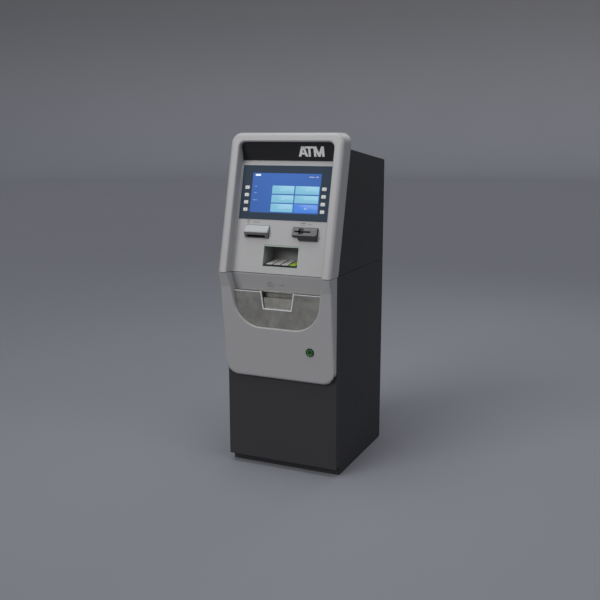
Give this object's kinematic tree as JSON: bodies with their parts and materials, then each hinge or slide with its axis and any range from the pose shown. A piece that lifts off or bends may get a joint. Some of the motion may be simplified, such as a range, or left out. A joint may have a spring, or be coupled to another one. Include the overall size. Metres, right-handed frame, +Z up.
{
  "type": "free-standing cash machine",
  "caption": "Free-standing cash machine: sloping screen fascia that swings open above a floor safe with hinged door, key lock, keypad recess and cash outlet.",
  "frame": {"origin": "middle of the footprint's bounding box, on the floor", "axes": "+Z up, the customer stands on the -Y side, +X to the customer's right"},
  "size_m": [0.506, 0.64, 1.418],
  "materials": {
    "bezel_glass": "dark blue-grey printed panel",
    "brushed_steel": "brushed, lightly stained",
    "cabinet_paint": "fine textured powder coat",
    "cassette_plastic": "moulded",
    "circuit_board": "solder mask",
    "dark_plastic": "textured dark moulding",
    "function_key_plastic": "yellow-green",
    "keypad_black": "black",
    "lock_green": "green ring",
    "lock_steel": "green plug",
    "marquee_gloss": "gloss black acrylic",
    "paper": "thermal paper",
    "pin_key_plastic": "light grey",
    "roller_rubber": "matte",
    "screen": "lit display",
    "shell_plastic": "satin light grey moulding",
    "side_key_plastic": "white",
    "zinc_steel": "zinc plated"
  },
  "bodies": {
    "cabinet": {"safe_body": "cabinet_paint", "safe_decks": "cabinet_paint", "head_cabinet": "cabinet_paint", "door_pivots": "zinc_steel", "hinge_cabinet_leaf": "zinc_steel", "fan_frame": "dark_plastic", "power_inlet": "dark_plastic", "mainboard": "circuit_board", "power_supply": "zinc_steel", "rear_screws": "zinc_steel", "dispenser_frame": "zinc_steel", "cash_cassette": "cassette_plastic", "reject_bin": "cassette_plastic"},
    "fascia": {"upper_fascia": "shell_plastic", "hinge_fascia_leaf": "zinc_steel", "marquee_panel": "marquee_gloss", "display_bezel": "bezel_glass", "lcd_module": "screen", "receipt_bezel": "shell_plastic", "receipt_printer": "dark_plastic", "card_bezel": "dark_plastic", "card_reader": "dark_plastic", "pinpad_tub": "dark_plastic", "keypad_plate": "keypad_black"},
    "door": {"safe_door": "cabinet_paint", "apron_backing": "cabinet_paint", "apron": "shell_plastic", "outlet_plate": "brushed_steel", "outlet_tray": "dark_plastic", "lock_ring": "lock_green"},
    "lock": {"lock_cylinder": "lock_steel"},
    "bolt": {"bolt_bar": "zinc_steel"},
    "shutter": {"outlet_shutter": "dark_plastic"},
    "roller": {"feed_roller": "roller_rubber"},
    "fan": {"fan_rotor": "dark_plastic"},
    "paper": {"paper_roll": "paper"},
    "side_key_left_1": {"side_key_left_1": "side_key_plastic"},
    "side_key_left_2": {"side_key_left_2": "side_key_plastic"},
    "side_key_left_3": {"side_key_left_3": "side_key_plastic"},
    "side_key_left_4": {"side_key_left_4": "side_key_plastic"},
    "side_key_right_1": {"side_key_right_1": "side_key_plastic"},
    "side_key_right_2": {"side_key_right_2": "side_key_plastic"},
    "side_key_right_3": {"side_key_right_3": "side_key_plastic"},
    "side_key_right_4": {"side_key_right_4": "side_key_plastic"},
    "pin_key_1_1": {"pin_key_1_1": "pin_key_plastic"},
    "pin_key_1_2": {"pin_key_1_2": "pin_key_plastic"},
    "pin_key_1_3": {"pin_key_1_3": "pin_key_plastic"},
    "pin_key_1_4": {"pin_key_1_4": "function_key_plastic"},
    "pin_key_2_1": {"pin_key_2_1": "pin_key_plastic"},
    "pin_key_2_2": {"pin_key_2_2": "pin_key_plastic"},
    "pin_key_2_3": {"pin_key_2_3": "pin_key_plastic"},
    "pin_key_2_4": {"pin_key_2_4": "function_key_plastic"},
    "pin_key_3_1": {"pin_key_3_1": "pin_key_plastic"},
    "pin_key_3_2": {"pin_key_3_2": "pin_key_plastic"},
    "pin_key_3_3": {"pin_key_3_3": "pin_key_plastic"},
    "pin_key_3_4": {"pin_key_3_4": "function_key_plastic"},
    "pin_key_4_1": {"pin_key_4_1": "pin_key_plastic"},
    "pin_key_4_2": {"pin_key_4_2": "pin_key_plastic"},
    "pin_key_4_3": {"pin_key_4_3": "pin_key_plastic"},
    "pin_key_4_4": {"pin_key_4_4": "function_key_plastic"}
  },
  "joints": [
    {"name": "fascia_swing", "type": "hinge", "parent": "cabinet", "child": "fascia", "pos_m": [0.25, -0.2395, 0.853], "axis": [0, 0.2419, 0.9703], "range_deg": [0, 95]},
    {"name": "door_swing", "type": "hinge", "parent": "cabinet", "child": "door", "pos_m": [-0.243, -0.209, 0.445], "axis": [0, 0, -1], "range_deg": [0, 100]},
    {"name": "lock_turn", "type": "hinge", "parent": "door", "child": "lock", "pos_m": [0.146, -0.26, 0.541], "axis": [0, 1, 0], "range_deg": [0, 90]},
    {"name": "bolt_slide", "type": "slide", "parent": "door", "child": "bolt", "axis": [1, 0, 0], "range_m": [0, 0.02]},
    {"name": "shutter_swing", "type": "hinge", "parent": "door", "child": "shutter", "pos_m": [0, -0.251, 0.773], "axis": [1, 0, 0], "range_deg": [0, 70], "stiffness_Nm_per_rad": 0.01, "springref_deg": -22.92},
    {"name": "feed_roller_spin", "type": "hinge", "parent": "cabinet", "child": "roller", "pos_m": [0, -0.154, 0.742], "axis": [1, 0, 0], "continuous": true},
    {"name": "fan_spin", "type": "hinge", "parent": "cabinet", "child": "fan", "pos_m": [0.13, 0.2935, 1.16], "axis": [0, 1, 0], "continuous": true},
    {"name": "paper_roll_spin", "type": "hinge", "parent": "fascia", "child": "paper", "pos_m": [-0.108, -0.10087, 1.01752], "axis": [1, 0, 0], "continuous": true},
    {"name": "side_key_left_1_press", "type": "slide", "parent": "fascia", "child": "side_key_left_1", "axis": [0, 0.9703, -0.2419], "range_m": [0, 0.0012], "stiffness_N_per_m": 300, "springref_m": -0.001},
    {"name": "side_key_left_2_press", "type": "slide", "parent": "fascia", "child": "side_key_left_2", "axis": [0, 0.9703, -0.2419], "range_m": [0, 0.0012], "stiffness_N_per_m": 300, "springref_m": -0.001},
    {"name": "side_key_left_3_press", "type": "slide", "parent": "fascia", "child": "side_key_left_3", "axis": [0, 0.9703, -0.2419], "range_m": [0, 0.0012], "stiffness_N_per_m": 300, "springref_m": -0.001},
    {"name": "side_key_left_4_press", "type": "slide", "parent": "fascia", "child": "side_key_left_4", "axis": [0, 0.9703, -0.2419], "range_m": [0, 0.0012], "stiffness_N_per_m": 300, "springref_m": -0.001},
    {"name": "side_key_right_1_press", "type": "slide", "parent": "fascia", "child": "side_key_right_1", "axis": [0, 0.9703, -0.2419], "range_m": [0, 0.0012], "stiffness_N_per_m": 300, "springref_m": -0.001},
    {"name": "side_key_right_2_press", "type": "slide", "parent": "fascia", "child": "side_key_right_2", "axis": [0, 0.9703, -0.2419], "range_m": [0, 0.0012], "stiffness_N_per_m": 300, "springref_m": -0.001},
    {"name": "side_key_right_3_press", "type": "slide", "parent": "fascia", "child": "side_key_right_3", "axis": [0, 0.9703, -0.2419], "range_m": [0, 0.0012], "stiffness_N_per_m": 300, "springref_m": -0.001},
    {"name": "side_key_right_4_press", "type": "slide", "parent": "fascia", "child": "side_key_right_4", "axis": [0, 0.9703, -0.2419], "range_m": [0, 0.0012], "stiffness_N_per_m": 300, "springref_m": -0.001},
    {"name": "pin_key_1_1_press", "type": "slide", "parent": "fascia", "child": "pin_key_1_1", "axis": [0, 0.1045, -0.9945], "range_m": [0, 0.001], "stiffness_N_per_m": 300, "springref_m": -0.001},
    {"name": "pin_key_1_2_press", "type": "slide", "parent": "fascia", "child": "pin_key_1_2", "axis": [0, 0.1045, -0.9945], "range_m": [0, 0.001], "stiffness_N_per_m": 300, "springref_m": -0.001},
    {"name": "pin_key_1_3_press", "type": "slide", "parent": "fascia", "child": "pin_key_1_3", "axis": [0, 0.1045, -0.9945], "range_m": [0, 0.001], "stiffness_N_per_m": 300, "springref_m": -0.001},
    {"name": "pin_key_1_4_press", "type": "slide", "parent": "fascia", "child": "pin_key_1_4", "axis": [0, 0.1045, -0.9945], "range_m": [0, 0.001], "stiffness_N_per_m": 300, "springref_m": -0.001},
    {"name": "pin_key_2_1_press", "type": "slide", "parent": "fascia", "child": "pin_key_2_1", "axis": [0, 0.1045, -0.9945], "range_m": [0, 0.001], "stiffness_N_per_m": 300, "springref_m": -0.001},
    {"name": "pin_key_2_2_press", "type": "slide", "parent": "fascia", "child": "pin_key_2_2", "axis": [0, 0.1045, -0.9945], "range_m": [0, 0.001], "stiffness_N_per_m": 300, "springref_m": -0.001},
    {"name": "pin_key_2_3_press", "type": "slide", "parent": "fascia", "child": "pin_key_2_3", "axis": [0, 0.1045, -0.9945], "range_m": [0, 0.001], "stiffness_N_per_m": 300, "springref_m": -0.001},
    {"name": "pin_key_2_4_press", "type": "slide", "parent": "fascia", "child": "pin_key_2_4", "axis": [0, 0.1045, -0.9945], "range_m": [0, 0.001], "stiffness_N_per_m": 300, "springref_m": -0.001},
    {"name": "pin_key_3_1_press", "type": "slide", "parent": "fascia", "child": "pin_key_3_1", "axis": [0, 0.1045, -0.9945], "range_m": [0, 0.001], "stiffness_N_per_m": 300, "springref_m": -0.001},
    {"name": "pin_key_3_2_press", "type": "slide", "parent": "fascia", "child": "pin_key_3_2", "axis": [0, 0.1045, -0.9945], "range_m": [0, 0.001], "stiffness_N_per_m": 300, "springref_m": -0.001},
    {"name": "pin_key_3_3_press", "type": "slide", "parent": "fascia", "child": "pin_key_3_3", "axis": [0, 0.1045, -0.9945], "range_m": [0, 0.001], "stiffness_N_per_m": 300, "springref_m": -0.001},
    {"name": "pin_key_3_4_press", "type": "slide", "parent": "fascia", "child": "pin_key_3_4", "axis": [0, 0.1045, -0.9945], "range_m": [0, 0.001], "stiffness_N_per_m": 300, "springref_m": -0.001},
    {"name": "pin_key_4_1_press", "type": "slide", "parent": "fascia", "child": "pin_key_4_1", "axis": [0, 0.1045, -0.9945], "range_m": [0, 0.001], "stiffness_N_per_m": 300, "springref_m": -0.001},
    {"name": "pin_key_4_2_press", "type": "slide", "parent": "fascia", "child": "pin_key_4_2", "axis": [0, 0.1045, -0.9945], "range_m": [0, 0.001], "stiffness_N_per_m": 300, "springref_m": -0.001},
    {"name": "pin_key_4_3_press", "type": "slide", "parent": "fascia", "child": "pin_key_4_3", "axis": [0, 0.1045, -0.9945], "range_m": [0, 0.001], "stiffness_N_per_m": 300, "springref_m": -0.001},
    {"name": "pin_key_4_4_press", "type": "slide", "parent": "fascia", "child": "pin_key_4_4", "axis": [0, 0.1045, -0.9945], "range_m": [0, 0.001], "stiffness_N_per_m": 300, "springref_m": -0.001}
  ],
  "couplings": [
    {"joint": "lock_turn", "follows": "bolt_slide", "rad_per_m": 78.53}
  ]
}
